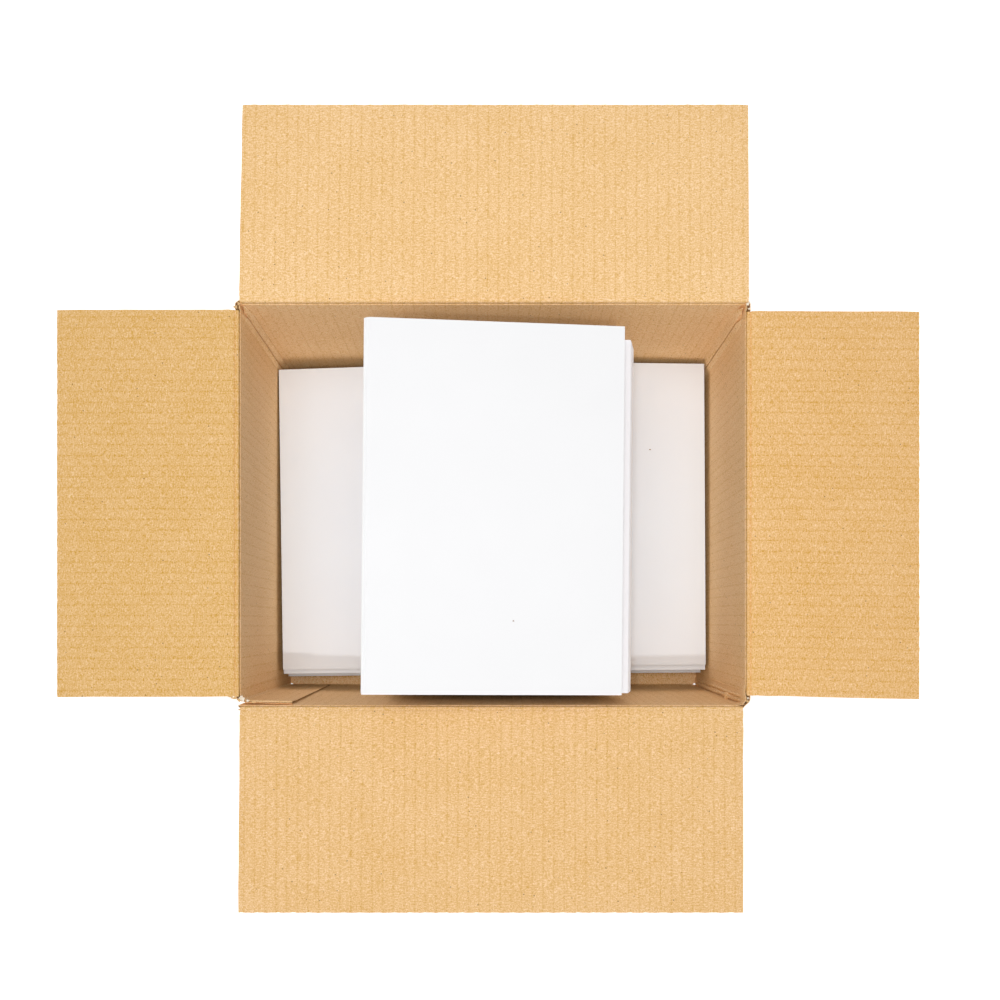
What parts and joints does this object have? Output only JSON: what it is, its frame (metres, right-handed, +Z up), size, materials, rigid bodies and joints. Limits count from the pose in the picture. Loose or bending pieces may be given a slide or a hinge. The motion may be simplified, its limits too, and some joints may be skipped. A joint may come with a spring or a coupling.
{
  "type": "pack of blank cards",
  "caption": "Open corrugated carton with its flaps spread, holding loose stacks of plain white folded cards, blank inside and out",
  "frame": {"origin": "On the surface the carton stands on, below the middle of its rim", "axes": "+X along the carton's length, from the left wall to the right wall; +Y from the front wall to the back wall; +Z up"},
  "size_m": [0.5244, 0.4834, 0.195],
  "materials": {
    "kraft_board": "matte",
    "kraft_tape": "satin",
    "white_card": "matte"
  },
  "bodies": {
    "carton": {"carton_body": "kraft_board", "bottom_tape": "kraft_tape", "left_bottom_bundle": "white_card", "left_middle_bundle": "white_card", "left_top_bundle": "white_card", "left_top_card": "white_card", "right_bottom_bundle": "white_card", "right_middle_bundle": "white_card", "right_top_bundle": "white_card", "right_top_card": "white_card", "upper_bottom_bundle": "white_card", "upper_lower_bundle": "white_card", "upper_middle_bundle": "white_card", "upper_stepped_bundle": "white_card", "upper_face_bundle": "white_card", "upper_top_card": "white_card"},
    "back_flap": {"back_flap": "kraft_board"},
    "front_flap": {"front_flap": "kraft_board"}
  },
  "joints": [
    {"name": "back_crease", "type": "hinge", "parent": "carton", "child": "back_flap", "pos_m": [0, 0.1246, 0.1565], "axis": [1, 0, 0], "range_deg": [-88, 120]},
    {"name": "front_crease", "type": "hinge", "parent": "carton", "child": "front_flap", "pos_m": [0, -0.1246, 0.1565], "axis": [-1, 0, 0], "range_deg": [-91, 101]}
  ]
}
